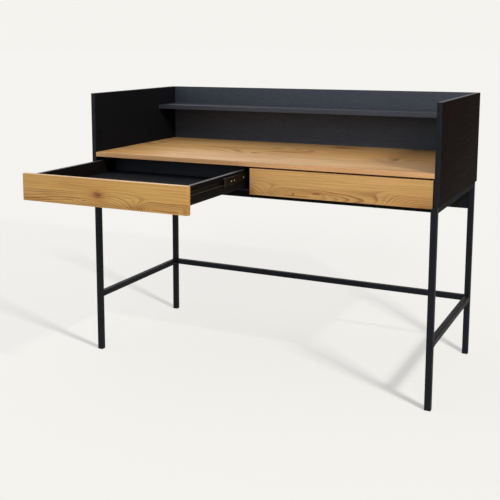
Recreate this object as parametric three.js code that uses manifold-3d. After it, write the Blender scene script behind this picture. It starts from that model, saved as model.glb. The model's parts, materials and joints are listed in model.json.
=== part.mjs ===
// Writing desk: a board carcass with two drawers on telescopic runners, on a square-tube frame.
// Millimetres, +Z up, +X to the sitter's right, -Y towards the sitter.
import * as THREE from 'three';
import Module from 'manifold-3d';

// ---- overall sizes
const deskWidth = 1250;
const deskDepth = 585;
const deskHeight = 954;
const worktopHeight = 742;      // top face of the worktop above the floor

// ---- carcass
const boardT = 16;              // side panels, worktop, shelf, divider
const backT = 6;
const floorT = 9;               // carcass floor under the drawers
const carcassBase = 639;        // underside of the side panels
const shelfTop = 886;
const shelfDepth = 133;
const innerSetback = 24;        // divider and carcass floor start behind the drawer fronts

// ---- steel frame
const tube = 20;                // square tube, outside
const tubeWall = 1.5;
const tubeRound = 2;            // outside corner radius of the tube
const frameInset = 5;           // tube faces inside the side panels' outer faces
const stretcherTop = 220;
const plugDepth = 12;           // solid weld plug at the top of each leg
const glideFlange = 4;
const glidePlug = 14;
const glideClearance = 0.3;
const apronBottom = 540;        // lower edge of the rear apron board
const apronT = 12;

// ---- drawers
const frontT = 18;
const frontRound = 1.5;         // rounded edges of the drawer fronts
const frontBottom = 633;
const frontTop = 720;
const frontSetback = 3;         // fronts sit this far behind the side panels' front edges
const frontGapSide = 4;         // front to side panel
const frontGapMiddle = 3;       // between the two fronts
const boxBottom = 654;
const boxTop = 713;
const boxLength = 500;
const boxWallT = 12;
const boxFloorT = 6;
const boxFloorLift = 5;         // underside of the drawer floor above the box's lower edge
const grooveDepth = 5;
const grooveClearance = 0.3;
const leftOpen = 418;           // how far the left drawer stands open at rest
const reliefClearance = 1.5;    // leg tops are relieved round the drawer fronts' lower corners

// ---- telescopic runners
const runnerT = 12.7;           // cabinet wall to drawer side
const runnerLength = 500;
const runnerSheet = 1.2;
const cabinetMemberH = 35;
const middleMemberH = 26;
const drawerMemberH = 17;
const runnerCentre = 692;       // height of the runners' centre line
const memberGap = 1.4;          // web to web
const middleLength = 420;
const middleShort = 37;         // closed, the middle member's front end is this far behind the runner's
const drawerMemberLength = 490;
const stopLength = 8;
const runnerBend = 2.4;         // outside bend radius of the pressed sheet
const holeR = 2.3;
const cabinetHoles = [37, 165, 293, 421];
const middleHoles = [210, 300, 390];
const drawerHoles = [30, 158, 211, 286, 414];

// ---- derived
const halfW = deskWidth / 2;
const innerX = halfW - boardT;
const cavityDepth = deskDepth - backT;
const worktopUnder = worktopHeight - boardT;
const legOut = halfW - frameInset;
const legIn = legOut - tube;
const frontBack = frontSetback + frontT;
const frontOut = innerX - frontGapSide;
const frontIn = frontGapMiddle / 2;
const boxOut = innerX - runnerT;
const boxIn = boardT / 2 + runnerT;
// the drawer stands out to the front, so the part is moved back to centre its box on the origin
const shiftY = -(deskDepth + (frontSetback - leftOpen)) / 2;

const part = new THREE.Group();
part.name = 'writing_desk';

const wasm = await Module();
wasm.setup();

const oak = [0.72, 0.53, 0.31], blackBoard = [0.035, 0.037, 0.04], blackSteel = [0.05, 0.052, 0.058];
const runnerSteel = [0.12, 0.115, 0.11], blackPlastic = [0.02, 0.02, 0.022];

function addNode(name, geometry, rgb) {
  geometry.translate(0, shiftY, 0);
  const material = new THREE.MeshStandardMaterial({ color: new THREE.Color(...rgb) });
  const mesh = new THREE.Mesh(geometry, material);
  mesh.name = name;
  part.add(mesh);
}

// A plain board between two corners.
function board(name, lo, hi, rgb) {
  const size = hi.map((v, i) => v - lo[i]);
  const g = new THREE.BoxGeometry(...size);
  g.translate(lo[0] + size[0] / 2, lo[1] + size[1] / 2, lo[2] + size[2] / 2);
  addNode(name, g, rgb);
}

// A flat outline (list of [u, v]) pushed along one axis. plane 'xz' runs along +Y, 'yz' along +X.
function prism(outline, holes, length, plane) {
  const shape = new THREE.Shape(outline.map(([a, b]) => new THREE.Vector2(a, b)));
  for (const h of holes) shape.holes.push(new THREE.Path(h.map(([a, b]) => new THREE.Vector2(a, b))));
  const g = new THREE.ExtrudeGeometry(shape, { depth: length, bevelEnabled: false, steps: 1 });
  const m = new THREE.Matrix4();
  // columns: where the outline's two axes and the push direction go
  const x = new THREE.Vector3(1, 0, 0), y = new THREE.Vector3(0, 1, 0), z = new THREE.Vector3(0, 0, 1);
  if (plane === 'xz') m.makeBasis(x, z, y.clone().negate());
  if (plane === 'yz') m.makeBasis(y, z, x);
  g.applyMatrix4(m);
  if (plane === 'xz') g.translate(0, length, 0);
  return g;
}

// Rounded square ring or disc outline, centred on (cu, cv).
function roundedSquare(cu, cv, side, r, steps = 4) {
  const pts = [];
  const h = side / 2 - r;
  const corners = [[h, h, 0], [-h, h, 1], [-h, -h, 2], [h, -h, 3]];
  for (const [u, v, q] of corners) {
    for (let i = 0; i <= steps; i++) {
      const a = (q + i / steps) * Math.PI / 2;
      pts.push([cu + u + r * Math.cos(a), cv + v + r * Math.sin(a)]);
    }
  }
  return pts;
}

// Square tube, centred section (cu, cv), pushed along the given axis.
function tubeGeometry(cu, cv, length, plane) {
  const bore = roundedSquare(cu, cv, tube - 2 * tubeWall, tubeRound - tubeWall);
  return prism(roundedSquare(cu, cv, tube, tubeRound), [bore], length, plane);
}

function toManifold(g) {
  let src = g.index ? g.toNonIndexed() : g;
  const p = src.attributes.position.array;
  const verts = [], keyOf = new Map(), tris = [];
  for (let i = 0; i < p.length; i += 3) {
    const key = [p[i], p[i + 1], p[i + 2]].map((v) => Math.round(v * 1e4)).join(',');
    if (!keyOf.has(key)) { keyOf.set(key, verts.length / 3); verts.push(p[i], p[i + 1], p[i + 2]); }
    tris.push(keyOf.get(key));
  }
  const mesh = new wasm.Mesh({
    numProp: 3, vertProperties: new Float32Array(verts), triVerts: new Uint32Array(tris),
  });
  return new wasm.Manifold(mesh);
}

function fromManifold(solid) {
  const m = solid.getMesh();
  const pos = [];
  for (const i of m.triVerts) {
    for (let k = 0; k < 3; k++) pos.push(m.vertProperties[i * m.numProp + k]);
  }
  const g = new THREE.BufferGeometry();
  g.setAttribute('position', new THREE.Float32BufferAttribute(pos, 3));
  g.computeVertexNormals();
  return g;
}

function boxBetween(lo, hi) {
  const size = hi.map((v, i) => v - lo[i]);
  const g = new THREE.BoxGeometry(...size);
  g.translate(lo[0] + size[0] / 2, lo[1] + size[1] / 2, lo[2] + size[2] / 2);
  return g;
}

const sides = [['left', -1], ['right', 1]];
const span = (s, a, b) => (s < 0 ? [-b, -a] : [a, b]);

// ---- carcass boards
for (const [side, s] of sides) {
  const [x0, x1] = span(s, innerX, halfW);
  board(`side_panel_${side}`, [x0, 0, carcassBase], [x1, deskDepth, deskHeight], blackBoard);
}
board('back_panel', [-innerX, cavityDepth, carcassBase], [innerX, deskDepth, deskHeight], blackBoard);
board('worktop', [-innerX, 0, worktopUnder], [innerX, cavityDepth, worktopHeight], oak);
board('rear_shelf', [-innerX, cavityDepth - shelfDepth, shelfTop - boardT],
  [innerX, cavityDepth, shelfTop], blackBoard);
board('carcass_floor', [-innerX, innerSetback, carcassBase],
  [innerX, cavityDepth, carcassBase + floorT], blackBoard);
board('centre_divider', [-boardT / 2, innerSetback, carcassBase + floorT],
  [boardT / 2, cavityDepth, worktopUnder], blackBoard);
board('rear_apron', [-legIn, deskDepth - (tube + apronT) / 2, apronBottom],
  [legIn, deskDepth - (tube - apronT) / 2, carcassBase - tube], blackBoard);

// A square bar standing on the floor.
function upright(cx, cy, side, r, height) {
  const outline = roundedSquare(cx, cy, side, r).map(([a, b]) => new THREE.Vector2(a, b));
  const options = { depth: height, bevelEnabled: false, steps: 1 };
  return new THREE.ExtrudeGeometry(new THREE.Shape(outline), options);
}

// ---- legs: square tube, solid plug at the top, open foot with a glide pushed in
const legCx = legOut - tube / 2;
// clearance cut round the drawer fronts' lower outer corners
function relief(s) {
  const [x0, x1] = span(s, legIn - 5, frontOut + reliefClearance);
  return toManifold(boxBetween([x0, -5, frontBottom - reliefClearance],
    [x1, frontBack + reliefClearance, carcassBase + 5]));
}
const rows = [['front', 0], ['rear', deskDepth - tube]];
for (const [row, y0] of rows) {
  for (const [side, s] of sides) {
    const cx = s * legCx, cy = y0 + tube / 2;
    const inner = tube - 2 * tubeWall;
    const outer = upright(cx, cy, tube, tubeRound, carcassBase - glideFlange);
    outer.translate(0, 0, glideFlange);
    const bore = upright(cx, cy, inner, tubeRound - tubeWall, carcassBase - plugDepth);
    let leg = toManifold(outer).subtract(toManifold(bore));
    if (row === 'front') leg = leg.subtract(relief(s));
    addNode(`leg_${row}_${side}`, fromManifold(leg), blackSteel);

    const cap = upright(cx, cy, tube, tubeRound, glideFlange);
    const plug = upright(cx, cy, inner - 2 * glideClearance, tubeRound, glidePlug);
    plug.translate(0, 0, glideFlange / 2);
    addNode(`glide_${row}_${side}`, fromManifold(toManifold(cap).add(toManifold(plug))), blackPlastic);
  }
}

// ---- rails under the carcass and low stretchers
for (const [side, s] of sides) {
  for (const [label, top] of [['top_rail', carcassBase], ['stretcher', stretcherTop]]) {
    const g = tubeGeometry(s * legCx, top - tube / 2, deskDepth - 2 * tube, 'xz');
    g.translate(0, tube, 0);
    const rail = label === 'top_rail' ? fromManifold(toManifold(g).subtract(relief(s))) : g;
    addNode(`${label}_${side}`, rail, blackSteel);
  }
}
const crossRails = [
  ['top_rail_front', innerSetback + tube / 2, carcassBase],
  ['top_rail_rear', deskDepth - tube / 2, carcassBase],
  ['stretcher_rear', deskDepth - tube / 2, stretcherTop],
];
for (const [name, cy, top] of crossRails) {
  const g = tubeGeometry(cy, top - tube / 2, 2 * legIn, 'yz');
  g.translate(-legIn, 0, 0);
  addNode(name, g, blackSteel);
}

// ---- drawers
// Runner cross-sections: u is measured from the carcass wall towards the drawer, v from the centre line.
// Rounds the right-angled corners of an outline; radii has one radius per corner.
function roundCorners(outline, radii, steps = 3) {
  const n = outline.length, pts = [];
  outline.forEach(([pu, pv], i) => {
    const r = radii[i];
    if (!r) { pts.push([pu, pv]); return; }
    const toward = ([qu, qv]) => {
      const d = Math.hypot(qu - pu, qv - pv);
      return [(qu - pu) / d, (qv - pv) / d];
    };
    const a = toward(outline[(i + n - 1) % n]), b = toward(outline[(i + 1) % n]);
    const cu = pu + r * (a[0] + b[0]), cv = pv + r * (a[1] + b[1]);
    for (let k = 0; k <= steps; k++) {
      const f = k / steps * Math.PI / 2;
      pts.push([cu - r * (b[0] * Math.cos(f) + a[0] * Math.sin(f)),
        cv - r * (b[1] * Math.cos(f) + a[1] * Math.sin(f))]);
    }
  });
  return pts;
}
// A folded channel: web at webU, flanges reaching to tipU, with an optional lip turned in at the tips.
function channel(webU, tipU, height, lip) {
  const h = height / 2, t = runnerSheet, k = Math.sign(tipU - webU);
  const w1 = webU + k * t, bend = runnerBend, inside = runnerBend - t;
  let half, radii;
  if (lip) {
    const lipU = tipU - k * t, lipV = h - t - lip;
    half = [[webU, h], [tipU, h], [tipU, lipV], [lipU, lipV], [lipU, h - t], [w1, h - t]];
    radii = [bend, t, 0, 0, 0, inside];
  } else {
    half = [[webU, h], [tipU, h], [tipU, h - t], [w1, h - t]];
    radii = [bend, 0, 0, inside];
  }
  const mirrored = half.map(([a, b]) => [a, -b]).reverse();
  const outline = [...half, ...mirrored];
  const all = roundCorners(outline, [...radii, ...[...radii].reverse()]);
  return k > 0 ? all.reverse() : all;
}
const cabinetTip = runnerT - 3.2;     // the outer member's flanges stop this far short of the drawer
const middleWeb = runnerSheet + memberGap;
const middleTip = runnerT - 1.7;
const drawerTip = runnerT - 6.6;      // how deep the drawer member reaches back into the middle one
const cabinetLip = 1.6;
const sections = {
  cabinet: channel(0, cabinetTip, cabinetMemberH, cabinetLip),
  middle: channel(middleWeb, middleTip, middleMemberH, 0),
  drawer: channel(runnerT, drawerTip, drawerMemberH, 0),
};
// Screw and rivet holes through a member's web, at distances from its front end.
function pierce(geometry, webX, frontY, places, radius) {
  let solid = toManifold(geometry);
  for (const at of places) {
    const c = new THREE.CylinderGeometry(radius, radius, 4 * runnerSheet, 16);
    c.rotateZ(Math.PI / 2);
    c.translate(webX, frontY + at, runnerCentre);
    solid = solid.subtract(toManifold(c));
  }
  return fromManifold(solid);
}

for (const [side, s] of sides) {
  const open = side === 'left' ? leftOpen : 0;
  const middleOpen = open / 2;
  const d = `drawer_${side}`;
  const y0 = frontSetback - open;
  const yb = frontBack - open;
  const [fx0, fx1] = span(s, frontIn, frontOut);
  const [bx0, bx1] = span(s, boxIn, boxOut);

  // front: rounded rectangle with softened edges
  const w = fx1 - fx0 - 2 * frontRound, h = frontTop - frontBottom - 2 * frontRound;
  const shape = new THREE.Shape([[0, 0], [w, 0], [w, h], [0, h]].map(([a, b]) => new THREE.Vector2(a, b)));
  const front = new THREE.ExtrudeGeometry(shape, {
    depth: frontT - 2 * frontRound, bevelEnabled: true, bevelThickness: frontRound,
    bevelSize: frontRound, bevelSegments: 3, steps: 1,
  });
  front.rotateX(Math.PI / 2);
  front.translate(fx0 + frontRound, yb - frontRound, frontBottom + frontRound);
  addNode(`${d}_front`, front, oak);

  // sides with a groove for the floor
  const floorZ = boxBottom + boxFloorLift;
  const grooveTop = floorZ + boxFloorT + grooveClearance;
  for (const [which, xa, dir] of [['outer', bx0, 1], ['inner', bx1 - boxWallT, -1]]) {
    const label = which === 'outer' ? 'left' : 'right';
    const face = dir > 0 ? xa + boxWallT : xa;       // the face towards the drawer's inside
    const away = dir > 0 ? xa : xa + boxWallT;
    const g0 = face - dir * grooveDepth;
    const outline = [[away, boxBottom], [face, boxBottom], [face, floorZ], [g0, floorZ],
      [g0, grooveTop], [face, grooveTop], [face, boxTop], [away, boxTop]];
    if (dir < 0) outline.reverse();
    const g = prism(outline, [], boxLength, 'xz');
    g.translate(0, yb, 0);
    addNode(`${d}_side_${label}`, g, blackBoard);
  }
  const ix0 = bx0 + boxWallT, ix1 = bx1 - boxWallT;
  board(`${d}_inner_front`, [ix0, yb, grooveTop], [ix1, yb + boxWallT, boxTop], blackBoard);
  board(`${d}_back`, [ix0, yb + boxLength - boxWallT, grooveTop], [ix1, yb + boxLength, boxTop], blackBoard);
  const reach = grooveDepth - grooveClearance;
  board(`${d}_floor`, [ix0 - reach, yb, floorZ],
    [ix1 + reach, yb + boxLength, floorZ + boxFloorT], blackBoard);

  // runners: one on the carcass side panel, one on the divider
  const walls = [['outer', s * innerX, -s], ['inner', s * boardT / 2, s]];
  for (const [where, wallX, dir] of walls) {
    const runner = `runner_${side}_${where}`;
    const place = (pts) => {
      const out = pts.map(([u, v]) => [wallX + dir * u, runnerCentre + v]);
      if (dir < 0) out.reverse();
      return out;
    };
    const along = (outline, length, frontY) => {
      const g = prism(place(outline), [], length, 'xz');
      g.translate(0, frontY, 0);
      return g;
    };
    const webX = (u) => wallX + dir * u;
    const c = along(sections.cabinet, runnerLength, innerSetback);
    addNode(`${runner}_cabinet`,
      pierce(c, webX(runnerSheet / 2), innerSetback, cabinetHoles, holeR), runnerSteel);
    const middleFront = innerSetback + middleShort - middleOpen;
    const m = along(sections.middle, middleLength, middleFront);
    addNode(`${runner}_middle`,
      pierce(m, webX(middleWeb + runnerSheet / 2), middleFront, middleHoles, holeR), runnerSteel);
    const dm = along(sections.drawer, drawerMemberLength, yb);
    addNode(`${runner}_drawer`,
      pierce(dm, webX(runnerT - runnerSheet / 2), yb, drawerHoles, holeR), runnerSteel);
    // stop clipped on the front end of the middle member
    const hs = middleMemberH / 2 + 1.4, hi = drawerMemberH / 2 + 0.6;
    const u0 = middleWeb, u1 = middleTip, ui = drawerTip - 0.5;
    const stop = [[u0, -hs], [u1, -hs], [u1, -hi], [ui, -hi], [ui, hi], [u1, hi], [u1, hs], [u0, hs]];
    addNode(`${runner}_stop`, along(stop, stopLength, middleFront - stopLength), blackPlastic);
  }
}

export default part;
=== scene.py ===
# %% [markdown]
# # A writing desk with two oak-fronted drawers
# The desk is a black board box on a square-tube frame. It has an oak worktop between raised sides,
# a narrow shelf at the back, and two drawers on telescopic runners; the left drawer stands open.
# The measured model is loaded first as a fixed frame. Every piece made here takes its place and its
# size from that frame, so nothing has to be fitted by eye.

# %% Load the measured model
import json
import math

import bmesh
import bpy
from mathutils import Matrix, Vector


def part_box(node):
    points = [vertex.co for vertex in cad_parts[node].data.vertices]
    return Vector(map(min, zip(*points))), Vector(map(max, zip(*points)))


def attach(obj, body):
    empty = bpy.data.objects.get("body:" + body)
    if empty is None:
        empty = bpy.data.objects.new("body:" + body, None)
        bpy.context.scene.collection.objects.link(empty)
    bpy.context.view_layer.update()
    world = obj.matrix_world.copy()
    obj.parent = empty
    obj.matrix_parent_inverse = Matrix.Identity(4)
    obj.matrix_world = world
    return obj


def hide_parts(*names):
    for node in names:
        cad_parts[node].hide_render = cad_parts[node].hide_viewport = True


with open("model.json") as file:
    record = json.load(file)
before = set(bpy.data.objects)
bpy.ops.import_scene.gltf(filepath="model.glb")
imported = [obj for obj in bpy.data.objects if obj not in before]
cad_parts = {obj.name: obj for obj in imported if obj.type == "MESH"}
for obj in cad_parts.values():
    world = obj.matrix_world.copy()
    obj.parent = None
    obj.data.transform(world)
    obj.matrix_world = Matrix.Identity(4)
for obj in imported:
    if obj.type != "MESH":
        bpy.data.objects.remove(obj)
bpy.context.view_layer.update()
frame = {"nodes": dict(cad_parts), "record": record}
body_of_node = {node: body
                for body, nodes in frame["record"]["behaviour"]["bodies"].items() for node in nodes}

# %% [markdown]
# ## The camera
# The desk is seen from the sitter's right, a little above the worktop. A lens of about 62 mm keeps
# the long front edge from stretching. The camera looks eight degrees down, and a small lens shift
# does the rest of placing the desk in the frame, so the legs lean only a little.

# %% Camera
camera_data = bpy.data.cameras.new("desk_camera")
camera_data.sensor_width = 36.0
camera_data.lens = 62.509
camera_data.shift_x = 0.09
camera_data.shift_y = -0.155
camera_data.clip_end = 400.0
camera_place = Vector((1.1976, -2.6593, 1.1230))
look_down, turn_left, roll = 0.14561, 0.48620, -0.00459
camera = bpy.data.objects.new("desk_camera", camera_data)
bpy.context.scene.collection.objects.link(camera)
camera.matrix_world = (Matrix.Translation(camera_place)
                       @ Matrix.Rotation(turn_left, 4, "Z")
                       @ Matrix.Rotation(math.pi / 2 - look_down, 4, "X")
                       @ Matrix.Rotation(roll, 4, "Z"))
bpy.context.scene.camera = camera
print("camera at", [round(v, 3) for v in camera_place], "lens", camera_data.lens)

# %% [markdown]
# ## Helpers for node graphs
# Finishes, floor and sky are all small graphs of nodes. A few helpers keep them short. They add a
# node with its settings, do sums on numbers, sockets or arrows, blend two colours, turn a number
# into a grey tone, and make noise that is stretched along the grain.

# %% Helpers for node graphs
def add(tree, kind, settings=None, **sockets):
    node = tree.nodes.new(kind)
    for key, value in (settings or {}).items():
        setattr(node, key, value)
    for key, value in sockets.items():
        feed(tree, node.inputs[key.replace("_", " ")], value)
    return node


def feed(tree, socket, value):
    if isinstance(value, bpy.types.NodeSocket):
        tree.links.new(value, socket)
    elif isinstance(value, tuple) and len(socket.default_value) == 4:
        socket.default_value = (*value[:3], 1.0)
    else:
        socket.default_value = value


def sums(tree, operation, a, b=None):
    node = add(tree, "ShaderNodeMath", {"operation": operation})
    feed(tree, node.inputs[0], a)
    if b is not None:
        feed(tree, node.inputs[1], b)
    return node.outputs[0]


def plus(tree, a, b):
    return sums(tree, "ADD", a, b)


def minus(tree, a, b):
    return sums(tree, "SUBTRACT", a, b)


def times(tree, a, b):
    return sums(tree, "MULTIPLY", a, b)


def arrows(tree, operation, a, b=None):
    node = add(tree, "ShaderNodeVectorMath", {"operation": operation})
    feed(tree, node.inputs[0], a)
    if b is not None:
        feed(tree, node.inputs[1], b)
    return node.outputs["Value" if operation in ("LENGTH", "DOT_PRODUCT") else "Vector"]


def blend_colours(tree, way, amount, a, b):
    node = add(tree, "ShaderNodeMix", {"data_type": "RGBA", "blend_type": way})
    for socket, value in zip((node.inputs[0], node.inputs[6], node.inputs[7]), (amount, a, b)):
        feed(tree, socket, value)
    return node.outputs[2]


def ramp(tree, value, stops):
    node = add(tree, "ShaderNodeValToRGB", Fac=value)
    elements = node.color_ramp.elements
    while len(elements) < len(stops):
        elements.new(0.5)
    for element, (at, level) in zip(elements, stops):
        element.position, element.color = at, (level, level, level, 1.0)
    return node.outputs["Color"]


def rise(tree, value, start, end):
    """0 before start, 1 after end, smooth between; start may lie after end for a fall."""
    low, high = min(start, end), max(start, end)
    node = add(tree, "ShaderNodeMapRange", {"interpolation_type": "SMOOTHSTEP"}, Value=value,
               From_Min=low, From_Max=high, To_Min=float(start > end), To_Max=float(start < end))
    return node.outputs["Result"]


def grain_noise(tree, position, stretch, detail=3.0, rough=0.55):
    place = add(tree, "ShaderNodeMapping", Vector=position, Scale=stretch)
    return add(tree, "ShaderNodeTexNoise", Vector=place.outputs["Vector"], Scale=1.0, Detail=detail,
               Roughness=rough).outputs["Fac"]


print("node helpers ready")

# %% [markdown]
# ## Floor, sky and lamps
# A pale seamless floor is the usual setting for furniture. A broad sky is brighter and cooler
# towards the front left, like a large soft box, and dimmer elsewhere, so the black faces keep their
# different tones. Five lamps add to it, and light linking gives each one its own task.
# Two light everything but the floor: a key lamp to the right and in front, and a weak rim light
# from behind that draws the top edges. Three light only the floor: a small key lamp for the crisp
# shadows, a foot lamp that only legs, glides and the right stretcher shade, and a high soft box
# whose shadow falls behind the desk.
# The key lamps and the foot lamp don't fade with distance, so the floor stays even. The floor glows
# by itself for most of its brightness, and lamps and sky add the rest, so its shadows stay light.

# %% Sky and lamps
scene = bpy.context.scene
scene.view_settings.view_transform = "Standard"
paper_white = (0.905, 0.896, 0.863)
soft_box_from = Vector((-0.42, -0.80, 0.42)).normalized()

sky = bpy.data.worlds.new("studio_sky")
scene.world = sky
sky.use_nodes = True
tree = sky.node_tree
towards = add(tree, "ShaderNodeTexCoord").outputs["Generated"]
facing_box = arrows(tree, "DOT_PRODUCT", towards, tuple(soft_box_from))
dim_sky, bright_sky = (0.38, 0.325, 0.29), (1.05, 1.12, 1.24)
tone = blend_colours(tree, "MIX", rise(tree, facing_box, -0.15, 0.85), dim_sky, bright_sky)
fill = tree.nodes["Background"]
feed(tree, fill.inputs["Color"], tone)
plain = add(tree, "ShaderNodeBackground", Color=paper_white)
rays = add(tree, "ShaderNodeLightPath")
choose = add(tree, "ShaderNodeMixShader", Fac=rays.outputs["Is Camera Ray"])
tree.links.new(fill.outputs[0], choose.inputs[1])
tree.links.new(plain.outputs[0], choose.inputs[2])
tree.links.new(choose.outputs[0], tree.nodes["World Output"].inputs["Surface"])

lamp_place = Vector((2.05, -1.035, 2.20))


def even_lamp(name, energy, radius):
    data = bpy.data.lights.new(name, "POINT")
    data.energy, data.shadow_soft_size, data.use_nodes = energy, radius, True
    even = add(data.node_tree, "ShaderNodeLightFalloff", Strength=1.0)
    glow = data.node_tree.nodes["Emission"]
    glow.inputs["Color"].default_value = (1.0, 0.985, 0.96, 1.0)
    feed(data.node_tree, glow.inputs["Strength"], even.outputs["Constant"])
    lamp = bpy.data.objects.new(name, data)
    lamp.location = lamp_place
    scene.collection.objects.link(lamp)
    return lamp


def far_lamp(name, energy, spread, source):
    """Parallel light; source points to where it comes from, spread is in degrees."""
    data = bpy.data.lights.new(name, "SUN")
    data.energy, data.angle = energy, math.radians(spread)
    lamp = bpy.data.objects.new(name, data)
    lamp.rotation_euler = Vector(source).to_track_quat("Z", "Y").to_euler()
    scene.collection.objects.link(lamp)
    return lamp


floor_lamp = even_lamp("key_lamp_floor", 20.0, 0.055)
desk_lamp = even_lamp("key_lamp_desk", 20.0, 0.22)
foot_lamp = even_lamp("foot_lamp", 100.0, 0.24)
rear_shade = far_lamp("high_soft_box", 1.4, 16, (0.295, -0.857, 0.423))
rim_light = far_lamp("rim_light", 0.38, 30, (-0.404, 0.766, 0.500))
print("lamp", round((lamp_place - Vector((0, 0, 0.7))).length, 2), "m from the desk")

# %% Floor
floor_mesh = bpy.data.meshes.new("floor")
reach = 150.0
corners = [(-reach, -reach, 0), (reach, -reach, 0), (reach, reach, 0), (-reach, reach, 0)]
floor_mesh.from_pydata(corners, [], [(0, 1, 2, 3)])
floor = bpy.data.objects.new("floor", floor_mesh)
scene.collection.objects.link(floor)
paper = bpy.data.materials.new("pale_floor")
paper.use_nodes = True
tree = paper.node_tree
tree.nodes.remove(tree.nodes["Principled BSDF"])
paper_share = 0.16  # how much of its colour the paper takes from lamps and sky
lamp_share, even_share = 3.04, 0.86
bounced_glow = 0.60  # the share of the glow that also reaches the desk
spot = add(tree, "ShaderNodeTexCoord").outputs["Object"]
to_lamp = arrows(tree, "NORMALIZE", arrows(tree, "SUBTRACT", tuple(lamp_place), spot))
slant = add(tree, "ShaderNodeSeparateXYZ", Vector=to_lamp).outputs["Z"]
taken = plus(tree, times(tree, slant, paper_share * lamp_share), paper_share * even_share)
own_glow = minus(tree, 1.0, taken)
rays = add(tree, "ShaderNodeLightPath")
seen_share = plus(tree, times(tree, rays.outputs["Is Camera Ray"], 1 - bounced_glow), bounced_glow)
seen_glow = times(tree, own_glow, seen_share)
glowing = add(tree, "ShaderNodeEmission", Color=paper_white, Strength=seen_glow)
matt = add(tree, "ShaderNodeBsdfDiffuse", Color=tuple(paper_share * c for c in paper_white))
both = add(tree, "ShaderNodeAddShader")
tree.links.new(glowing.outputs[0], both.inputs[0])
tree.links.new(matt.outputs[0], both.inputs[1])
tree.links.new(both.outputs[0], tree.nodes["Material Output"].inputs["Surface"])
floor.data.materials.append(paper)
only_floor = bpy.data.collections.new("lit_by_floor_lamps")
only_floor.objects.link(floor)
for light in (floor_lamp, foot_lamp, rear_shade):
    light.light_linking.receiver_collection = only_floor
not_floor = bpy.data.collections.new("lit_by_desk_lamps")
not_floor.objects.link(floor)
not_floor.collection_objects[0].light_linking.link_state = "EXCLUDE"
for light in (desk_lamp, rim_light):
    light.light_linking.receiver_collection = not_floor
print("floor", 2 * reach, "m wide")

# %% [markdown]
# ## Oak veneer
# Oak veneer is sliced along the trunk, so its year rings show as lines that run along the board and
# fold into pointed arches where the slice leaves the heart. The graph builds that map of rings: a
# height that climbs across the board, with ridges and small hills added to it. Lines of equal height
# are the year lines: a ridge folds them into arches, and a hill makes them flow round a knot.
# Each year starts with a dark, porous stripe. Fibres, pores and slow changes of tone lie over it.

# %% Oak veneer finish
OAK_LIGHT, OAK_WARM = (0.620, 0.356, 0.118), (0.525, 0.275, 0.079)
OAK_LINE, OAK_KNOT = (0.190, 0.068, 0.014), (0.115, 0.026, 0.006)


def new_finish(name, rough, specular=0.5):
    material = bpy.data.materials.new(name)
    material.use_nodes = True
    tree = material.node_tree
    shader = tree.nodes["Principled BSDF"]
    shader.inputs["Roughness"].default_value = rough
    shader.inputs["Specular IOR Level"].default_value = specular
    return material, tree, shader, add(tree, "ShaderNodeTexCoord").outputs["Object"]


def bump(tree, shader, height, strength, distance):
    node = add(tree, "ShaderNodeBump", Height=height, Strength=strength, Distance=distance)
    tree.links.new(node.outputs["Normal"], shader.inputs["Normal"])


def vary_roughness(tree, shader, pattern, most, least):
    tree.links.new(ramp(tree, pattern, [(0.3, most), (0.7, least)]), shader.inputs["Roughness"])


def hill(tree, along, across, at, size):
    """A smooth bump of height 1 at a place on the veneer; size None is endless in that direction."""
    total = None
    for value, centre, width in zip((along, across), at, size):
        if width is None:
            continue
        part = sums(tree, "POWER", times(tree, minus(tree, value, centre), 1 / width), 2.0)
        total = part if total is None else plus(tree, total, part)
    return sums(tree, "EXPONENT", times(tree, total, -1.0))


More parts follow.
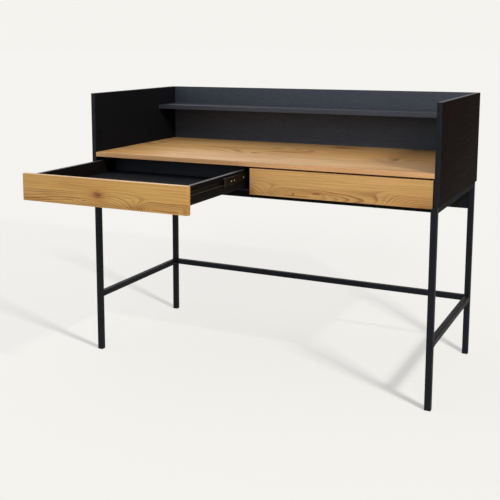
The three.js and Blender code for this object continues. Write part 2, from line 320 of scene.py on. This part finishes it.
def veneer(name, start, flat=False, year=0.0058, ridges=(), hills=(), knots=(), stains_and_shade=(),
           strength=0.85, light=OAK_LIGHT, warm=OAK_WARM, rough=0.50, specular=0.30, sway=0.010,
           pale_end=None, bold_below=None, coarse=1.0):
    """start is the veneer's lower left corner; flat veneers lie on a table, others stand upright."""
    material, tree, shader, position = new_finish(name, rough, specular)
    local = arrows(tree, "SUBTRACT", position, tuple(start))
    axes = add(tree, "ShaderNodeSeparateXYZ", Vector=local).outputs
    along, across, depth = (axes[letter] for letter in ("XYZ" if flat else "XZY"))
    across = plus(tree, across, times(tree, depth, 0.4))
    slow = grain_noise(tree, local, (2.2, 9.0, 9.0), 2.0)
    bends = grain_noise(tree, local, (11.0, 55.0, 55.0), 2.0)
    quick = grain_noise(tree, local, (30.0, 170.0, 170.0), 3.0)
    wavy = across
    for noise, amount in ((slow, sway), (bends, 0.0055), (quick, 0.0026)):
        wavy = plus(tree, wavy, times(tree, minus(tree, noise, 0.5), amount))
    years = times(tree, wavy, 1 / year)
    for height, (start_at, full_at), (fade_at, end_at), centre, width in ridges:
        shape = times(tree, rise(tree, along, start_at, full_at), rise(tree, along, end_at, fade_at))
        shape = times(tree, shape, hill(tree, along, wavy, (0, centre), (None, width)))
        years = plus(tree, years, times(tree, shape, height))
    for height, at, size in hills:
        years = plus(tree, years, times(tree, hill(tree, along, wavy, at, size), height))
    heart = None
    for height, at, size in knots:
        ring_size = tuple(2.2 * width for width in size)
        years = plus(tree, years, times(tree, hill(tree, along, wavy, at, ring_size), height))
        core = hill(tree, along, wavy, at, size)
        heart = core if heart is None else sums(tree, "MAXIMUM", heart, core)

    within = sums(tree, "FRACT", years)
    stripe = ramp(tree, within, [(0.0, 1.0), (0.20, 0.85), (0.42, 0.20), (0.90, 0.0), (1.0, 0.9)])
    own = add(tree, "ShaderNodeTexNoise", {"noise_dimensions": "1D"}, W=times(tree, years, 0.43),
              Scale=1.0, Detail=1.0).outputs["Fac"]
    patches = grain_noise(tree, local, (3.0, 30.0, 30.0), 2.0)
    weight = times(tree, ramp(tree, patches, [(0.30, 0.30), (0.60, 1.0)]),
                  ramp(tree, own, [(0.34, 0.45), (0.60, 1.0)]))
    if bold_below:
        boldness = rise(tree, across, bold_below + 0.025, bold_below)
        weight = times(tree, weight, plus(tree, times(tree, boldness, 0.55), 0.60))
    stripe = times(tree, stripe, weight)
    fibres = grain_noise(tree, local, (7.0, 460.0 / coarse, 460.0 / coarse), 4.0, 0.62)
    streaks = grain_noise(tree, local, (4.0, 190.0 / coarse, 190.0 / coarse), 3.0)
    clouds = grain_noise(tree, local, (1.6, 10.0, 10.0), 2.0)
    specks = grain_noise(tree, local, (55.0, 1700.0, 1700.0), 2.0)
    pores = ramp(tree, specks, [(0.57, 0.0), (0.66, 1.0)])
    pores = times(tree, pores, plus(tree, times(tree, stripe, 0.7), 0.3))

    colour = blend_colours(tree, "MIX", ramp(tree, clouds, [(0.32, 0.0), (0.68, 1.0)]), light, warm)
    for lines, stops in ((streaks, [(0.30, 0.87), (0.70, 1.09)]),
                         (fibres, [(0.28, 0.84), (0.72, 1.12)])):
        colour = blend_colours(tree, "MULTIPLY", 1.0, colour, ramp(tree, lines, stops))
    colour = blend_colours(tree, "MIX", times(tree, stripe, strength), colour, OAK_LINE)
    colour = blend_colours(tree, "MULTIPLY", times(tree, pores, 0.45), colour, (0.42, 0.30, 0.20))
    # Stains darken the wood's own tone; the broad one at the worktop's right rear is painted shade.
    for depth_of_tone, at, size in stains_and_shade:
        colour = blend_colours(tree, "MULTIPLY", times(tree, hill(tree, along, wavy, at, size),
                               depth_of_tone), colour, (0.60, 0.40, 0.26))
    if pale_end:
        pale = blend_colours(tree, "MULTIPLY", 1.0, colour, (1.26, 1.30, 1.30))
        colour = blend_colours(tree, "MIX", rise(tree, along, pale_end, 0.0), colour, pale)
    if heart is not None:
        halo = sums(tree, "POWER", heart, 0.22)
        colour = blend_colours(tree, "MULTIPLY", times(tree, halo, 0.70), colour, (0.84, 0.56, 0.40))
        cracked = grain_noise(tree, local, (160.0, 260.0, 260.0), 2.0)
        dark = times(tree, heart, ramp(tree, cracked, [(0.42, 0.60), (0.58, 1.0)]))
        colour = blend_colours(tree, "MIX", times(tree, dark, 0.97), colour, OAK_KNOT)
    tree.links.new(colour, shader.inputs["Base Color"])
    vary_roughness(tree, shader, fibres, rough + 0.08, rough - 0.05)
    bump(tree, shader, minus(tree, times(tree, fibres, 0.6), pores), 0.30, 0.0003)
    return material


# %% Oak fronts, worktop and edge band
front_low = {side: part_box(f"drawer_{side}_front")[0] for side in ("left", "right")}
left_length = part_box("drawer_left_front")[1].x - front_low["left"].x
# Both fronts come from one flitch, and the right one starts this far along it.
shared = 0.602 * left_length
# A ridge is its height in years, where it starts and is full, where it fades and ends, centre, width.
arches = [(4.6, (0.405, 0.485), (0.56, 0.80), 0.004, 0.021),
          (9.0, (0.28, 0.49), (0.77, 0.93), -0.004, 0.038)]
# Hills, stains and painted shade, and knots are each a height or depth, a place and a size.
swirls = [(3.0, (0.215, 0.006), (0.016, 0.009)), (3.2, (-0.02, 0.0), (0.16, 0.026)),
          (1.6, (0.60, 0.020), (0.035, 0.006))]
fronts_oak = {
    "left": veneer("oak_left_front", front_low["left"], ridges=arches, hills=swirls, strength=0.88,
                   bold_below=0.03, light=(0.645, 0.368, 0.104), warm=(0.548, 0.283, 0.068),
                   stains_and_shade=[(0.55, (0.03, 0.009), (0.09, 0.006)),
                           (0.7, (0.595, 0.012), (0.010, 0.011)),
                           (0.45, (0.425, 0.008), (0.030, 0.010))],
                   knots=[(2.0, (0.289, 0.0375), (0.0160, 0.0088))]),
    "right": veneer("oak_right_front", front_low["right"] - Vector((shared, 0, 0)), ridges=arches,
                    hills=swirls, strength=0.72, bold_below=0.03,
                    stains_and_shade=[(0.9, (shared + 0.002, 0.012), (0.018, 0.018)),
                            (0.5, (shared + 0.38, 0.002), (0.02, 0.006)),
                            (0.5, (shared + 0.58, 0.004), (0.05, 0.008))],
                    knots=[(0.8, (shared + 0.235, 0.0215), (0.016, 0.0022)),
                           (0.5, (shared + 0.155, 0.014), (0.003, 0.002))]),
}
top_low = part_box("worktop")[0]
oak_top = veneer("oak_worktop", top_low, flat=True, year=0.018, strength=0.80, sway=0.05,
                 pale_end=0.60, coarse=2.8, light=(0.70, 0.410, 0.155), warm=(0.63, 0.332, 0.106),
                 rough=0.42, specular=0.42,
                 ridges=[(8.0, (0.15, 0.70), (0.9, 1.3), 0.20, 0.085),
                         (-7.0, (-0.3, 0.1), (0.5, 0.95), 0.42, 0.07)],
                 knots=[(2.0, (0.76, 0.515), (0.022, 0.010))],
                 # The broad second stain at the right rear is painted shade from the right side panel.
                 stains_and_shade=[(0.6, (0.78, 0.515), (0.08, 0.014)), (0.35, (1.05, 0.42), (0.16, 0.10))])
oak_band = veneer("oak_edge_band", top_low, year=0.0045, strength=0.25, sway=0.004,
                  light=(0.66, 0.365, 0.160), warm=(0.61, 0.320, 0.130), rough=0.45, specular=0.30)
# The drawer fronts' edge finish is much lighter than their oak: a painted highlight on the top edges.
front_edge_painted_highlight = veneer("oak_front_band", top_low, year=0.0045, strength=0.25, sway=0.004,
                    light=(0.86, 0.57, 0.32), warm=(0.82, 0.53, 0.29), rough=0.38, specular=0.45)
print("oak:", [m.name for m in (*fronts_oak.values(), oak_top, oak_band, front_edge_painted_highlight)])

# %% [markdown]
# ## Black boards, powder coat, runner steel and plastic
# The black boards are stained wood grain, so the fibre shows in their sheen and height more than in
# their colour. Powder coat has a very fine orange-peel skin. The runners are pressed steel with a
# thin dark coat, rubbed a little lighter in places. Plastic is matt with a faint moulded texture.

# %% Dark finishes
def stained_board(name, colour, rough, stretch, specular=0.30, contrast=0.25):
    material, tree, shader, position = new_finish(name, rough, specular)
    fibres = grain_noise(tree, position, stretch, 4.0, 0.6)
    clouds = grain_noise(tree, position, (3.0, 3.0, 3.0), 2.0)
    tone = blend_colours(tree, "MULTIPLY", 1.0, colour,
                         ramp(tree, fibres, [(0.3, 1 - contrast), (0.7, 1 + contrast)]))
    tone = blend_colours(tree, "MULTIPLY", 1.0, tone, ramp(tree, clouds, [(0.3, 0.92), (0.7, 1.08)]))
    tree.links.new(tone, shader.inputs["Base Color"])
    vary_roughness(tree, shader, fibres, rough + 0.08, rough - 0.05)
    bump(tree, shader, fibres, 0.30, 0.0003)
    return material


def coated_steel(name, colour, rough, speckle, specular=0.4, metallic=0.0, rubbed=0.0):
    material, tree, shader, position = new_finish(name, rough, specular)
    shader.inputs["Metallic"].default_value = metallic
    grains = grain_noise(tree, position, (speckle, speckle, speckle), 3.0)
    clouds = grain_noise(tree, position, (14.0, 14.0, 14.0), 3.0)
    tone = blend_colours(tree, "MULTIPLY", 1.0, colour, ramp(tree, clouds, [(0.3, 0.88), (0.7, 1.12)]))
    if rubbed:
        edge = add(tree, "ShaderNodeNewGeometry").outputs["Pointiness"]
        worn = times(tree, ramp(tree, edge, [(0.52, 0.0), (0.60, rubbed)]), clouds)
        tone = blend_colours(tree, "MIX", worn, tone, tuple(min(0.5, 4.0 * c) for c in colour))
    tree.links.new(tone, shader.inputs["Base Color"])
    vary_roughness(tree, shader, clouds, rough + 0.05, rough - 0.05)
    bump(tree, shader, grains, 0.22, 0.0002)
    return material


along_desk, along_side, fine_weave = (5.0, 260.0, 260.0), (260.0, 5.0, 260.0), (60.0, 260.0, 420.0)
board_rear = stained_board("black_board_rear", (0.0338, 0.0380, 0.0485), 0.55, fine_weave, 0.35, 0.20)
# The side panels are one black board in two tinted copies: the right one brown, painted warm light
# from the right; the left one bluer, painted cool light from the front.
right_panel_painted_warm_light = stained_board("black_board_side", (0.0080, 0.0044, 0.0037), 0.75, along_side, 0.02, 0.08)
left_panel_painted_cool_light = stained_board("black_board_left_side", (0.0052, 0.0055, 0.0066),
                                 0.75, along_side, 0.03, 0.15)
board_hidden = stained_board("black_board_plain", (0.0072, 0.0080, 0.0104),
                             0.65, along_desk, 0.10, 0.15)
board_edge = stained_board("black_board_edge", (0.0070, 0.0078, 0.0108),
                           0.50, (40.0, 40.0, 40.0), 0.14)
box_board = stained_board("black_drawer_board", (0.0105, 0.0112, 0.0138),
                          0.60, (200.0, 8.0, 200.0), 0.10)
# The drawer sides are a brown copy of the drawer board: painted warm light on faces that look right.
drawer_side_painted_warm_light = stained_board("black_drawer_side", (0.0064, 0.0052, 0.0046),
                         0.62, (200.0, 8.0, 200.0), 0.03)
# The drawer back is a lighter, bluer copy of the drawer board: painted light that lifts the shade deep
# under the worktop.
drawer_back_painted_light = stained_board("black_drawer_back", (0.0260, 0.0275, 0.0340),
                         0.60, (8.0, 200.0, 200.0), 0.15)
box_floor = stained_board("black_drawer_floor", (0.0150, 0.0160, 0.0195),
                          0.60, (8.0, 200.0, 200.0), 0.10)
# A lighter black for the top edges of the drawer boards and the side panels: a painted highlight.
box_edge_painted_highlight = stained_board("black_drawer_edge", (0.0420, 0.0430, 0.0520), 0.50, (60.0, 60.0, 60.0), 0.40)
frame_coat = coated_steel("black_powder_coat", (0.0092, 0.0098, 0.0128), 0.52, 1400.0, 0.10)
# The top rails' coat is a darker copy of the frame's powder coat: painted shade.
rail_coat_painted_shade = coated_steel("black_powder_coat_rail", (0.0045, 0.0045, 0.0047), 0.55, 1400.0, 0.02)
runner_coat = coated_steel("runner_dark_coat", (0.0024, 0.0015, 0.0011), 0.42, 900.0, 0.06, 0.0, 0.5)
runner_outer_coat = coated_steel("runner_black_coat", (0.0065, 0.0062, 0.0062),
                                 0.45, 900.0, 0.30, 0.15, 0.3)
# The lower flange's up-facing faces get a much lighter finish: a painted highlight of the sky.
flange_painted_highlight = coated_steel("runner_bare_flange", (0.120, 0.118, 0.108), 0.40, 900.0, 0.50, 0.30)
zinc = coated_steel("zinc_plate", (0.78, 0.78, 0.76), 0.34, 700.0, 0.5, 0.75)
black_screw = coated_steel("blackened_screw", (0.020, 0.020, 0.021), 0.38, 700.0, 0.5, 0.6, 0.4)
plastic = coated_steel("black_plastic", (0.0065, 0.0065, 0.0070), 0.52, 500.0, 0.25)
print("dark finishes ready")

# %% [markdown]
# ## Boards, tubes and channels
# The frame's boards have knife-sharp edges, which no real board has. Each is copied, its triangles
# are merged back into flat faces, and a Bevel modifier rounds the edges. The rounded strip and the
# narrow faces can take a second finish, as edge banding does; on the drawers that second finish is
# much lighter, a painted highlight. Tubes and channels keep their own rounded corners and only need
# smooth shading.

# %% Helpers for pieces
def bake_modifiers(thing):
    bpy.context.view_layer.update()
    graph = bpy.context.evaluated_depsgraph_get()
    mesh = bpy.data.meshes.new_from_object(thing.evaluated_get(graph), preserve_all_data_layers=True,
                                           depsgraph=graph)
    thing.modifiers.clear()
    thing.data = mesh
    return thing


def clean_copy(node, name):
    mesh = bpy.data.meshes.new(name)
    work = bmesh.new()
    work.from_mesh(frame["nodes"][node].data)
    bmesh.ops.remove_doubles(work, verts=work.verts, dist=2e-6)
    bmesh.ops.dissolve_limit(work, angle_limit=math.radians(0.5), verts=work.verts, edges=work.edges)
    for face in work.faces:
        face.material_index = 0
    work.to_mesh(mesh)
    work.free()
    thing = bpy.data.objects.new(name, mesh)
    bpy.context.scene.collection.objects.link(thing)
    return thing


def settle(thing, node):
    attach(thing, body_of_node[node])
    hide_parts(node)
    return thing


def board(node, name, face_finish, edge_finish=None, edge_axes=(), radius=0.0008, segments=3):
    thing = clean_copy(node, name)
    thing.data.materials.append(face_finish)
    thing.data.materials.append(edge_finish or face_finish)
    for face in thing.data.polygons:
        axis = max(range(3), key=lambda i: abs(face.normal[i]))
        face.material_index = 1 if axis in edge_axes else 0
        face.use_smooth = True
    bevel = thing.modifiers.new("rounding", "BEVEL")
    bevel.width, bevel.segments, bevel.limit_method = radius, segments, "ANGLE"
    bevel.angle_limit = math.radians(40)
    bevel.harden_normals = True
    bevel.material = 1
    return settle(bake_modifiers(thing), node)


def smooth_piece(node, name, finish, sharp=35.0):
    thing = clean_copy(node, name)
    thing.data.materials.append(finish)
    work = bmesh.new()
    work.from_mesh(thing.data)
    for face in work.faces:
        face.smooth = True
    for edge in work.edges:
        if len(edge.link_faces) == 2 and edge.calc_face_angle(0.0) > math.radians(sharp):
            edge.smooth = False
    work.to_mesh(thing.data)
    work.free()
    return settle(thing, node)


def paint_highlight_on_up_faces(thing, finish, under=math.inf):
    """The faces that look up, and lie lower than the given height, get a lighter finish of their own,
    a painted highlight.
    """
    thing.data.materials.append(finish)
    for face in thing.data.polygons:
        if face.normal.z > 0.9 and face.center.z < under:
            face.material_index = len(thing.data.materials) - 1


print("piece helpers ready")

# %% [markdown]
# ## The carcass
# The carcass is a box of black boards: two tall sides, a back, a floor and a divider between the
# drawers. The oak worktop lies between the sides, and its front edge carries an edge band. The grain
# of the back, shelf and worktop runs along the desk, and that of the sides runs front to back.

# %% Carcass boards
carcass = [
    board("worktop", "oak_worktop", oak_top, oak_band, edge_axes=(0, 1), radius=0.0010),
    board("back_panel", "black_back_panel", board_rear, board_edge),
    board("rear_shelf", "black_rear_shelf", board_rear, board_edge),
    board("carcass_floor", "black_carcass_floor", board_hidden, board_edge),
    board("centre_divider", "black_centre_divider", board_hidden, board_edge),
    board("rear_apron", "black_rear_apron", board_hidden, board_edge),
    # Each side panel takes its own tinted copy of the black board, painted light.
    board("side_panel_left", "black_side_panel_left", left_panel_painted_cool_light, board_edge, edge_axes=(1, 2)),
    board("side_panel_right", "black_side_panel_right", right_panel_painted_warm_light, board_edge, edge_axes=(1, 2)),
]
# The side panels' top faces take the lighter edge finish, a painted highlight.
for thing in carcass[-2:]:
    paint_highlight_on_up_faces(thing, box_edge_painted_highlight)
print("carcass:", [p.name for p in carcass])

# %% [markdown]
# ## The steel frame
# The frame is 20 mm square tube, welded and powder coated. Its corners are rounded as rolled tube is.
# A plastic glide sits in each foot.

# %% Tubes and glides
# The top rails take the darker copy of the powder coat, painted shade.
tubes = [smooth_piece(node, "tube_" + node, rail_coat_painted_shade if node.startswith("top_rail") else frame_coat)
         for node in body_of_node if node.startswith(("leg_", "top_rail_", "stretcher_"))]
glides = [smooth_piece(node, "foot_" + node, plastic)
          for node in body_of_node if node.startswith("glide_")]
blockers = bpy.data.collections.new("tubes_and_glides")
for thing in (*(t for t in tubes if "leg_" in t.name or "stretcher_right" in t.name), *glides):
    blockers.objects.link(thing)
foot_lamp.light_linking.blocker_collection = blockers
print(len(tubes), "tubes and", len(glides), "glides")

# %% [markdown]
# ## The drawers
# Each drawer is a black box with an oak front. The fronts are veneered, and their top and bottom faces
# and rounded edges take a much lighter oak, a painted highlight where light catches the edges. The
# box boards are thin and only lightly rounded.

# %% Drawers
box_finishes = {"side_left": drawer_side_painted_warm_light, "side_right": drawer_side_painted_warm_light, "inner_front": box_board,
                "back": drawer_back_painted_light, "floor": box_floor}
drawer_pieces = []
for side in ("left", "right"):
    d = f"drawer_{side}"
    # The fronts' edges get the lighter oak, a painted highlight.
    drawer_pieces.append(board(f"{d}_front", f"oak_{d}_front", fronts_oak[side], front_edge_painted_highlight,
                               edge_axes=(2,), radius=0.0004))
    for part, finish in box_finishes.items():
        banded = () if part == "floor" else (2,)
        # The box boards' edges take the lighter black, a painted highlight.
        drawer_pieces.append(board(f"{d}_{part}", f"black_{d}_{part}", finish, box_edge_painted_highlight,
                                   edge_axes=banded, radius=0.0005))
print("drawers:", len(drawer_pieces), "boards")

# %% [markdown]
# ## The runners
# A telescopic runner has three folded steel channels: one on the carcass, one on the drawer and one
# between them, with a plastic stop on its front end. The channels come from the frame as they are.

# %% Runner channels
runner_finish = {"cabinet": runner_outer_coat, "middle": runner_coat, "drawer": runner_coat,
                 "stop": plastic}
runner_pieces = [smooth_piece(node, "slide_" + node, runner_finish[node.rsplit("_", 1)[1]])
                 for node in body_of_node if node.startswith("runner_")]
for thing in runner_pieces:
    # The drawer member's lower up-facing faces take the lighter finish, a painted highlight.
    if thing.name.endswith("_drawer"):
        heights = [vertex.co.z for vertex in thing.data.vertices]
        paint_highlight_on_up_faces(thing, flange_painted_highlight, under=(min(heights) + max(heights)) / 2)
print(len(runner_pieces), "runner pieces")

# %% [markdown]
# ## Small fittings made with Geometry Nodes
# Screws, rivets, bearing balls and weld beads are each one small shape in many places, which is what
# Geometry Nodes are for. Each tree takes a mesh of loose points, and every point carries an arrow for
# the way its fitting faces. The tree builds one shape from named sizes, sets it on every point, makes
# the copies real and gives them their finish. Each set of fittings becomes one plain mesh that moves
# with its body.

# %% Helpers for fittings
def new_tree(name, sizes):
    """A geometry tree with the named sizes as inputs, in metres."""
    tree = bpy.data.node_groups.new(name, "GeometryNodeTree")
    tree.interface.new_socket("Geometry", in_out="INPUT", socket_type="NodeSocketGeometry")
    for label in sizes:
        tree.interface.new_socket(label, in_out="INPUT", socket_type="NodeSocketFloat")
    tree.interface.new_socket("Geometry", in_out="OUTPUT", socket_type="NodeSocketGeometry")
    return tree, tree.nodes.new("NodeGroupInput").outputs, tree.nodes.new("NodeGroupOutput").inputs


def xyz(tree, x=0.0, y=0.0, z=0.0):
    return add(tree, "ShaderNodeCombineXYZ", X=x, Y=y, Z=z).outputs[0]


def smooth_but_sharp(tree, shape):
    """Smooth shading, with every edge over 40 degrees kept crisp."""
    angle = add(tree, "GeometryNodeInputMeshEdgeAngle").outputs["Unsigned Angle"]
    crisp = sums(tree, "GREATER_THAN", angle, math.radians(40))
    soft = add(tree, "GeometryNodeSetShadeSmooth", Geometry=shape, Shade_Smooth=True)
    return add(tree, "GeometryNodeSetShadeSmooth", {"domain": "EDGE"}, Geometry=soft.outputs[0],
               Selection=crisp, Shade_Smooth=False).outputs[0]


def set_on_points(tree, sizes, result, shape, finish):
    arrow = add(tree, "GeometryNodeInputNamedAttribute", {"data_type": "FLOAT_VECTOR"}, Name="facing")
    turn = add(tree, "FunctionNodeAlignRotationToVector", {"axis": "Z"},
               Vector=arrow.outputs["Attribute"])
    copies = add(tree, "GeometryNodeInstanceOnPoints", Points=sizes["Geometry"], Instance=shape,
                 Rotation=turn.outputs["Rotation"])
    real = add(tree, "GeometryNodeRealizeInstances", Geometry=copies.outputs["Instances"])
    done = add(tree, "GeometryNodeSetMaterial", Geometry=real.outputs["Geometry"], Material=finish)
    tree.links.new(done.outputs["Geometry"], result["Geometry"])


def fittings(name, tree, places, body, slot, **sizes):
    """places is a list of (point, arrow); sizes are the tree's inputs, with _ for a space."""
    mesh = bpy.data.meshes.new(name)
    mesh.from_pydata([tuple(point) for point, _ in places], [], [])
    facing = mesh.attributes.new("facing", "FLOAT_VECTOR", "POINT")
    facing.data.foreach_set("vector", [value for _, arrow in places for value in arrow])
    thing = bpy.data.objects.new(name, mesh)
    scene.collection.objects.link(thing)
    step = thing.modifiers.new(name, "NODES")
    step.node_group = tree
    for item in tree.interface.items_tree:
        if item.in_out == "INPUT" and item.name != "Geometry":
            step[item.identifier] = sizes[item.name.replace(" ", "_")]
    bake_modifiers(thing)
    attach(thing, body)
    return thing


print("fitting helpers ready")

# %% [markdown]
# ## Screws and rivets
# A pan-head screw is a flattened ball with a cross-shaped recess cut into it. A rivet is the same head
# without the recess. The screw heads in the runners are kept low, so that the middle member slides
# past them with room to spare.

# %% Screw and rivet trees
def head_tree(name, finish, recess):
    tree, sizes, result = new_tree(name, ("Radius", "Height"))
    ball = add(tree, "GeometryNodeMeshUVSphere", Segments=12, Rings=6, Radius=1.0)
    head = add(tree, "GeometryNodeTransform", Geometry=ball.outputs["Mesh"],
               Scale=xyz(tree, sizes["Radius"], sizes["Radius"], sizes["Height"])).outputs[0]
    if recess:
        long_side = times(tree, sizes["Radius"], 1.10)
        thin_side = times(tree, sizes["Radius"], 0.26)
        cut = add(tree, "GeometryNodeMeshBoolean", {"operation": "DIFFERENCE", "solver": "EXACT"})
        feed(tree, cut.inputs["Mesh 1"], head)
        for x, y in ((long_side, thin_side), (thin_side, long_side)):
            bar = add(tree, "GeometryNodeMeshCube", Size=xyz(tree, x, y, sizes["Height"]))
            bar = add(tree, "GeometryNodeTransform", Geometry=bar.outputs["Mesh"],
                      Translation=xyz(tree, z=sizes["Height"]))
            feed(tree, cut.inputs["Mesh 2"], bar.outputs[0])
        head = cut.outputs["Mesh"]
    set_on_points(tree, sizes, result, smooth_but_sharp(tree, head), finish)
    return tree


zinc_screw = head_tree("zinc_pan_head_screw", zinc, True)
dark_screw = head_tree("black_pan_head_screw", black_screw, True)
rivet = head_tree("rivet_head", zinc, False)
print("trees:", zinc_screw.name, dark_screw.name, rivet.name)

# %% Screws in the frame, the back and the drawers
AWAY_BACK, AWAY_DOWN = (0.0, 1.0, 0.0), (0.0, 0.0, -1.0)
SCREWS_ACROSS = 8
panel_low, panel_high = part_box("back_panel")
behind = []
for node in ("carcass_floor", "worktop", "rear_shelf"):
    low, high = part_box(node)
    for i in range(SCREWS_ACROSS):
        x = panel_low.x + (panel_high.x - panel_low.x) * (i + 0.5) / SCREWS_ACROSS
        behind.append((Vector((x, panel_high.y, (low.z + high.z) / 2)), AWAY_BACK))
low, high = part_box("centre_divider")
for share in (0.3, 0.7):
    height = low.z + (high.z - low.z) * share
    behind.append((Vector((0.0, panel_high.y, height)), AWAY_BACK))
fittings("back_panel_screws", dark_screw, behind, "carcass_and_frame", "black_steel_frame",
         Radius=0.0036, Height=0.0016)
below = []
for node in ("top_rail_left", "top_rail_right", "top_rail_front"):
    low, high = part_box(node)
    for share in (0.15, 0.5, 0.85):
        place = (low + high) / 2
        longest = 0 if "front" in node else 1
        place[longest] = low[longest] + (high[longest] - low[longest]) * share
        place.z = low.z
        below.append((place, AWAY_DOWN))
fittings("top_rail_screws", dark_screw, below, "carcass_and_frame", "black_steel_frame",
         Radius=0.0045, Height=0.0022)
screws = len(behind) + len(below)
for side in ("left", "right"):
    low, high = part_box(f"drawer_{side}_inner_front")
    inside = [(Vector((low.x + (high.x - low.x) * x, high.y, low.z + (high.z - low.z) * z)), AWAY_BACK)
              for x in (0.2, 0.8) for z in (0.3, 0.7)]
    fittings(f"drawer_{side}_front_screws", dark_screw, inside, f"drawer_{side}", "black_steel_frame",
             Radius=0.0040, Height=0.0018)
    screws += len(inside)
print(screws, "screws")

# %% [markdown]
# ## Runner fittings
# Each runner is screwed through its holes to the carcass and to the drawer. Two rows of balls roll
# between each pair of channels, so the channels never touch. Their cages are hidden and left out.
# Bright rivets on the middle member hold the front stop and the ball stops.

# %% Runner screws, rivets and balls
ball_tree, sizes, result = new_tree("bearing_balls", ("Radius",))
one_ball = add(ball_tree, "GeometryNodeMeshIcoSphere", Radius=sizes["Radius"], Subdivisions=2)
set_on_points(ball_tree, sizes, result, smooth_but_sharp(ball_tree, one_ball.outputs["Mesh"]), zinc)

SHEET = 0.0012  # thickness of the runner steel
BALLS_IN_ROW, BALL_PITCH = 14, 0.012
for side in ("left", "right"):
    held = {"carcass_and_frame": [], f"drawer_{side}": []}
    for where in ("outer", "inner"):
        runner = f"runner_{side}_{where}"
        boxes = {member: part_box(f"{runner}_{member}") for member in ("cabinet", "middle", "drawer")}
        outer_low, outer_high = boxes["cabinet"]
        middle_low, middle_high = boxes["middle"]
        drawer_low, drawer_high = boxes["drawer"]
        way = 1.0 if (side == "left") == (where == "outer") else -1.0
        wall = outer_low.x if way > 0 else outer_high.x
        mid_height = (outer_low.z + outer_high.z) / 2
        middle_face = ((middle_low.x if way > 0 else middle_high.x) - wall) * way
        drawer_face = ((drawer_high.x if way > 0 else drawer_low.x) - wall) * way - SHEET

        def spot_on(member, back, off_wall, up=0.0):
            return Vector((wall + way * off_wall, boxes[member][0].y + back, mid_height + up))

        held["carcass_and_frame"] += [(spot_on("cabinet", back, SHEET), (way, 0.0, 0.0))
                                      for back in (0.037, 0.165, 0.293, 0.421)]
        held[f"drawer_{side}"] += [(spot_on("drawer", back, drawer_face), (-way, 0.0, 0.0))
                                   for back in (0.030, 0.286, 0.414)]
        rivets = [(spot_on("middle", back, middle_face), (-way, 0.0, 0.0))
                  for back in (0.041, 0.063, 0.131)]
        half = {member: (high.z - low.z) / 2 for member, (low, high) in boxes.items()}
        lane_out = (half["cabinet"] - SHEET + half["middle"]) / 2
        lane_in = (half["middle"] - SHEET + half["drawer"]) / 2
        balls = []
        for i in range(BALLS_IN_ROW):
            for sign in (-1.0, 1.0):
                for first, off_wall, lane in ((0.240, 0.0056, lane_out), (0.020, 0.0085, lane_in)):
                    place = spot_on("middle", first + BALL_PITCH * i, off_wall, sign * lane)
                    balls.append((place, (0.0, 0.0, 1.0)))
        fittings(runner + "_rivets", rivet, rivets, runner + "_middle_member", "runner_steel",
                 Radius=0.0023, Height=0.00045)
        fittings(runner + "_balls", ball_tree, balls, runner + "_middle_member", "runner_steel",
                 Radius=0.0015)
    for body, places in held.items():
        on_carcass = body == "carcass_and_frame"
        fittings(f"runner_{side}_screws_on_{body}", zinc_screw if on_carcass else dark_screw, places,
                 body, "runner_steel", Radius=0.0034, Height=0.0008 if on_carcass else 0.0016)
    print(side, "runner fittings, ball lanes", round(lane_out, 5), round(lane_in, 5))

# %% [markdown]
# ## Weld beads
# The tubes are cut square and welded all round, so a low bead runs round each joint under the paint.
# A rounded square outline swept with a small circle makes one bead.

# %% Weld beads
bead_tree, sizes, result = new_tree("weld_bead", ("Side", "Corner", "Bead"))
outline = add(bead_tree, "GeometryNodeCurvePrimitiveQuadrilateral",
              Width=sizes["Side"], Height=sizes["Side"])
outline = add(bead_tree, "GeometryNodeFilletCurve", {"mode": "POLY"}, Curve=outline.outputs[0],
              Count=2, Radius=sizes["Corner"])
section = add(bead_tree, "GeometryNodeCurvePrimitiveCircle", Resolution=6, Radius=sizes["Bead"])
bead = add(bead_tree, "GeometryNodeCurveToMesh", Curve=outline.outputs[0],
           Profile_Curve=section.outputs[0])
set_on_points(bead_tree, sizes, result, smooth_but_sharp(bead_tree, bead.outputs[0]), frame_coat)
joints = []
for node in ("stretcher_left", "stretcher_right", "stretcher_rear", "top_rail_left", "top_rail_right",
             "top_rail_front", "top_rail_rear"):
    low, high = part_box(node)
    longest = 1 if node.endswith(("left", "right")) else 0
    for end in (low, high):
        if node.startswith("top_rail") and longest == 1 and end is low:
            continue  # the drawer fronts pass close to these two joints, which are ground flat
        place = (low + high) / 2
        place[longest] = end[longest]
        joints.append((place, (0.0, 1.0, 0.0) if longest else (1.0, 0.0, 0.0)))
leg_low, leg_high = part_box("leg_front_left")
tube_side = leg_high.x - leg_low.x
fittings("weld_beads", bead_tree, joints, "carcass_and_frame", "black_steel_frame",
         Side=tube_side, Corner=0.002, Bead=0.0008)
print(len(joints), "weld beads round", round(tube_side, 4), "m tube")
